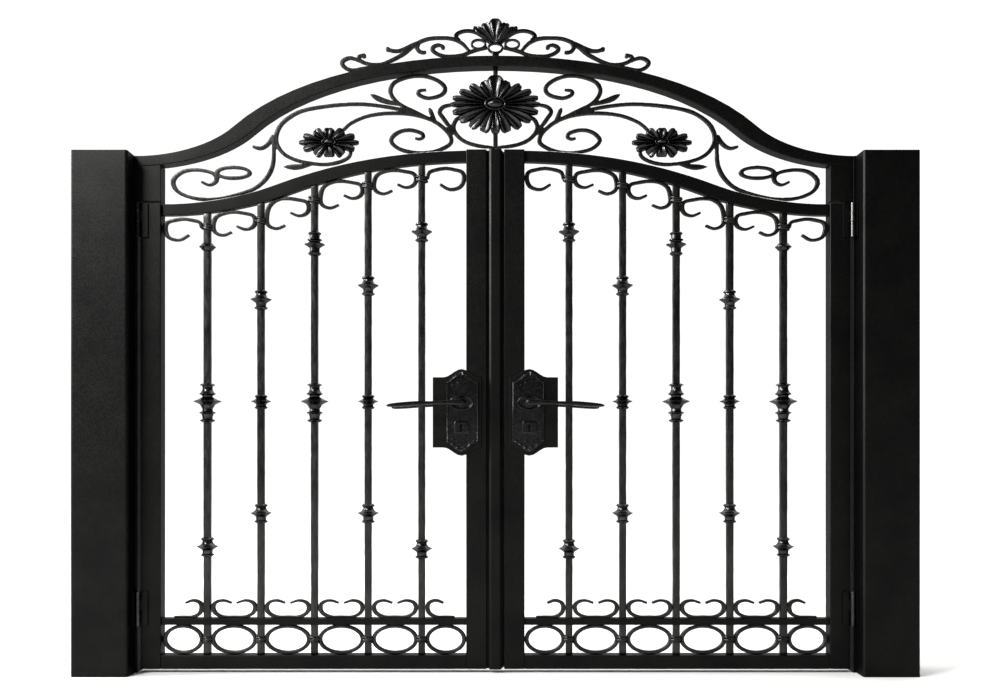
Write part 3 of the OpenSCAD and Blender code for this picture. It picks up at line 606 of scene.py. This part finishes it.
# Upper and lower half of the oval, and what the top petal stands over it, as in the CAD
up, down, longer = (share / 1.05 * big_tall for share in (0.43, 0.52, 0.10))
cast_flower("big_flower", (big_high[0] - big_low[0]) / 2, up, down, 20, longer, 0.84, petal)
for side in SIDES:
    low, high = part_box(side + "_flower")
    half_tall = (high[2] - low[2]) / 2
    cast_flower(side + "_flower", (high[0] - low[0]) / 2, half_tall, half_tall, 12, 0, 0.8, petal)


# Palmette: the CAD plate with rounded edges, and a ridged lobe on both faces of each of its leaves. Angle in
# degrees, then length, width and height in mm
PALMETTE_LOBES = [(90, 96, 62, 14), (63, 88, 44, 10), (117, 88, 44, 10), (40, 94, 42, 8), (140, 94, 42, 8)]


def palmette(petal):
    plate = merged_copy("palmette", "palmette_cast")
    round_edges(plate, 3.5 * MM)
    low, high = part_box("palmette")
    root = high[2] - PALMETTE_LOBES[0][1] * MM
    places = []
    for angle, length, width, height in PALMETTE_LOBES:
        face = petal_at((CENTRE_X, 0, root), angle, length * MM, width * MM, height * MM)
        places.append(Matrix.Translation((0, low[1] + 2 * MM, 0)) @ face)
        places.append(Matrix.Translation((0, high[1] - 2 * MM, 0)) @ Matrix.Scale(-1, 4, (0, 1, 0)) @ face)
    lobes = copied(petal, places, "palmette_lobes")
    settled(plate)
    dress(joined([plate, lobes], "palmette_cast"), "palmette")


palmette(petal)


# Lock furniture: how far the faces stand off the gate's middle plane, and what stands on the plate
PLATE_FACE, KEY_FACE, ROSE_FACE = 39.5 * MM, 44.5 * MM, 48.5 * MM
ROSE_HALF = Vector((34 * MM, 23 * MM))
ROSE_SPREAD = (1.3, 1, 1.2)
KEY_DROP = 90 * MM
KEY_HALF = Vector((26.5 * MM, 22.5 * MM))
# Box round the rose and the key block, from the lever's axis
STANDING_HALF_X, STANDING_LOW, STANDING_HIGH = 42 * MM, -114 * MM, 27 * MM
# Leaves of the relief at each end of the plate: place across and up, angle, length and width, in mm
RELIEF = ((0, 14, 90, 22, 22), (6, 14, 20, 18, 17), (24, 3, 15, 17, 15), (41, -7, 15, 15, 15),
          (6, 2, -30, 14, 14), (24, -9, -20, 13, 12))
RELIEF_INSET, RELIEF_HEIGHT = 36 * MM, 7 * MM


def levers(side):
    """The lever's outline made round in the hand: remeshed fine and smoothed like a casting."""
    node = side + "_lever"
    piece = merged_copy(node, node + "_cast")
    apply_modifier(piece, "REMESH", mode="VOXEL", voxel_size=1.6 * MM)
    apply_modifier(piece, "SMOOTH", factor=0.5, iterations=14)
    smooth(piece, 60)
    dress(piece, node)


def bead(piece, test, radius, inset, name):
    """A round bead along the edges that pass a test, drawn in from the rim by a share of its size."""
    pick(piece, test, "edges")
    bpy.ops.mesh.duplicate()
    bpy.ops.mesh.separate(type="SELECTED")
    done()
    line = next(o for o in bpy.context.selected_objects if o is not piece)
    line.name = name
    low, high = (Vector(f(v.co[i] for v in line.data.vertices) for i in range(3)) for f in (min, max))
    middle = (low + high) / 2
    edit(line)
    bpy.ops.mesh.remove_doubles(threshold=0.05 * MM)
    bpy.ops.transform.resize(value=(1 - inset, 1, 1 - inset), center_override=middle)
    done()
    bpy.ops.object.convert(target="CURVE")
    bpy.context.object.data.bevel_depth = radius
    bpy.context.object.data.bevel_resolution = 2
    bpy.ops.object.convert(target="MESH")
    made = bpy.context.object
    smooth(made, 60)
    return made


def keyhole_cutter(x, z, depth):
    """A round hole with a slot under it: a cylinder, and a cube drawn out to a slot."""
    bpy.ops.object.select_all(action="DESELECT")
    bpy.ops.mesh.primitive_cylinder_add(vertices=24, radius=6.5 * MM, depth=2.2 * depth,
                                        location=(x, 0, z + 6 * MM), rotation=(math.radians(90), 0, 0))
    bow = fresh("keyhole_bow")
    bpy.ops.object.select_all(action="DESELECT")
    bpy.ops.mesh.primitive_cube_add(size=1, location=(x, 0, z - 4 * MM))
    slot = fresh("keyhole_slot")
    edit(slot)
    bpy.ops.transform.resize(value=(6 * MM, 2.2 * depth, 20 * MM), center_override=(x, 0, z - 4 * MM))
    done()
    return [bow, slot]


def escutcheons(side, petal):
    node = side + "_escutcheons"
    piece = merged_copy(node, node + "_cast")
    low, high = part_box(node)
    x, _, lever_z = joint_place(side + "_lever")
    lean = {}
    for f in piece.data.polygons:
        for key in f.edge_keys:
            lean.setdefault(key, []).append(abs(f.normal.y))

    def rim(level, inner):
        """Test for the edges round the plate, or round what stands on it."""
        def test(e):
            ends = [piece.data.vertices[i].co for i in e.vertices]
            inside = all(abs(v.x - x) < STANDING_HALF_X and STANDING_LOW < v.z - lever_z < STANDING_HIGH
                         for v in ends)
            return (min(lean[e.key]) < 0.1 and max(lean[e.key]) > 0.9 and inside == inner
                    and all(abs(abs(v.y) - level) < 0.1 * MM for v in ends))
        return test

    def face_at(level):
        return lambda f: abs(f.normal.y) > 0.9 and abs(abs(f.center.y) - level) < 0.5 * MM

    key_z = lever_z - KEY_DROP

    def key_corner(e):
        a, b = (piece.data.vertices[i].co for i in e.vertices)
        return (abs(a.x - b.x) + abs(a.z - b.z) < 0.1 * MM and abs(abs(a.x - x) - KEY_HALF.x) < 0.5 * MM
                and abs(abs(a.z - key_z) - KEY_HALF.y) < 0.5 * MM)

    # The rose is spread, beaded and dished, and the key block gets round corners and a raised face
    pick(piece, lambda v: abs(v.co.y) > PLATE_FACE - 0.1 * MM and abs(v.co.x - x) < ROSE_HALF.x
         and abs(v.co.z - lever_z) < ROSE_HALF.y)
    bpy.ops.transform.resize(value=ROSE_SPREAD, center_override=(x, 0, lever_z))
    done()
    beads = [bead(piece, rim(PLATE_FACE, False), 3 * MM, 0.05, "plate_bead"),
             bead(piece, rim(ROSE_FACE, True), 2.5 * MM, 0.0, "rose_bead")]
    pick(piece, face_at(ROSE_FACE), "polygons")
    bpy.ops.mesh.inset(thickness=5 * MM, depth=-5 * MM, use_even_offset=True)

    pick(piece, key_corner, "edges")
    bpy.ops.mesh.bevel(offset=10 * MM, segments=5, affect="EDGES")
    pick(piece, face_at(KEY_FACE), "polygons")
    bpy.ops.mesh.inset(thickness=3.5 * MM, depth=2 * MM, use_even_offset=True)
    done()
    for cutter in keyhole_cutter(x, key_z, high[1]):
        apply_modifier(piece, "BOOLEAN", object=cutter, operation="DIFFERENCE", solver="EXACT")
        dropped(cutter)
    round_edges(piece, 1.2 * MM, 2)
    settled(piece, 40)
    places = []
    for face in (-1, 1):
        turn = Matrix.Scale(-face, 4, (0, 1, 0))
        for k in (-1, 1):
            gable = high[2] - RELIEF_INSET if k > 0 else low[2] + RELIEF_INSET
            for dx, dz, angle, length, width in RELIEF:
                for s in ((1,) if dx == 0 else (1, -1)):
                    root = (x + s * dx * MM, -PLATE_FACE + 0.5 * MM, gable + k * dz * MM)
                    leaf = petal_at(root, k * (angle if s > 0 else 180 - angle), length * MM, width * MM,
                                    RELIEF_HEIGHT)
                    places.append(turn @ leaf)
    leaves = copied(petal, places, "leaves")
    dress(joined([piece, leaves] + beads, node + "_cast"), node)


for side in SIDES:
    levers(side)
    escutcheons(side, petal)
dropped(petal)


# Meeting seal: a rubber lip on the left leaf's closing strip that fills the last of the meeting gap. Its black is
# partly painted shade: the lip stands in for the shadow in the groove beside the closing strip
def meeting_seal_gap_shade():
    low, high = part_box("astragal")
    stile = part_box("right_meeting_stile")[0]
    middle = ((high[0] + stile[0]) / 2, 8 * MM, (low[2] + high[2]) / 2)
    bpy.ops.object.select_all(action="DESELECT")
    bpy.ops.mesh.primitive_cube_add(size=1, location=middle)
    piece = fresh("meeting_seal_gap_shade")
    edit(piece)
    bpy.ops.transform.resize(value=(stile[0] - high[0] - 0.3 * MM, 14 * MM, high[2] - low[2] - 2 * MM),
                             center_override=middle)
    done()
    round_edges(piece, 1 * MM, 2)
    smooth(piece)
    dress(piece, "astragal", "rubber_gap_shade", stands_for=False)


meeting_seal_gap_shade()


# Studio
def studio():
    bpy.context.scene.view_settings.view_transform = "Standard"
    bpy.ops.object.select_all(action="DESELECT")
    bpy.ops.mesh.primitive_plane_add(size=600, location=(CENTRE_X, 0, 0))
    floor = fresh("studio_floor")
    paint = bpy.data.materials.new("pale_floor")
    paint.use_nodes = True
    paint.node_tree.nodes["Principled BSDF"].inputs["Base Color"].default_value = linear("#bcbcbb")
    paint.node_tree.nodes["Principled BSDF"].inputs["Roughness"].default_value = 0.9
    floor.data.materials.append(paint)
    floor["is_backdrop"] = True

    # The room, by the way one looks: a white cyclorama behind the gate that goes dim past the right side, a
    # bright ceiling over it, a bright strip far out on the left, and a dim grey room in front
    world = bpy.data.worlds.new("studio")
    bpy.context.scene.world = world
    world.use_nodes = True
    tree = world.node_tree
    way = add_node(tree, "ShaderNodeTexCoord").outputs["Generated"]
    parts = add_node(tree, "ShaderNodeSeparateXYZ", {"Vector": way}).outputs

    def ramp(axis, start, end, first, last):
        return add_node(tree, "ShaderNodeMapRange", {
            "Value": parts[axis], "From Min": start, "From Max": end, "To Min": first, "To Max": last},
            interpolation_type="SMOOTHSTEP").outputs["Result"]

    def sum_of(kind, first, second):
        return add_node(tree, "ShaderNodeMath", {0: first, 1: second}, operation=kind).outputs[0]

    behind = sum_of("MULTIPLY", ramp("Y", -0.05, 0.4, 0.0, 1.0), ramp("X", 0.5, 0.8, 1.0, 0.15))
    ceiling = sum_of("MULTIPLY", ramp("Z", 0.35, 0.7, 0.0, 3.2), ramp("Y", -0.3, 0.1, 0.0, 1.0))
    strip = sum_of("MULTIPLY", ramp("X", -0.92, -0.62, 8.0, 0.0), ramp("Z", -0.02, 0.3, 0.05, 1.0))
    strip = sum_of("MULTIPLY", strip, ramp("Z", 0.42, 0.6, 1.0, 0.0))
    total = sum_of("ADD", sum_of("ADD", behind, ceiling), sum_of("ADD", strip, 0.12))
    background = tree.nodes["Background"]
    background.inputs["Color"].default_value = (1, 1, 1, 1)
    tree.links.new(total, background.inputs["Strength"])

    # A soft box high in front on the left, and one far out on the left that lights the edges turned to it
    for name, place, size, power in (("soft_box", (-2.0, -3.2, 4.4), 1.6, 600),
                                     ("edge_box", (-5.5, -0.6, 3.3), 1.4, 1100)):
        lamp = bpy.data.lights.new(name, "AREA")
        lamp.size = size
        lamp.energy = power
        box = bpy.data.objects.new(name, lamp)
        box.location = place
        box.rotation_euler = (Vector((CENTRE_X, 0, 1.4)) - box.location).to_track_quat("-Z", "Y").to_euler()
        bpy.context.scene.collection.objects.link(box)

    camera = bpy.data.cameras.new("camera")
    camera.lens = 36.41
    camera.shift_x = 0.0046
    camera.shift_y = 0.1
    eye = bpy.data.objects.new("camera", camera)
    eye.location = (CENTRE_X, -3.7275, 0.815)
    eye.rotation_euler = (math.radians(90), 0, 0)
    bpy.context.scene.collection.objects.link(eye)
    bpy.context.scene.camera = eye


studio()
low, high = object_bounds()
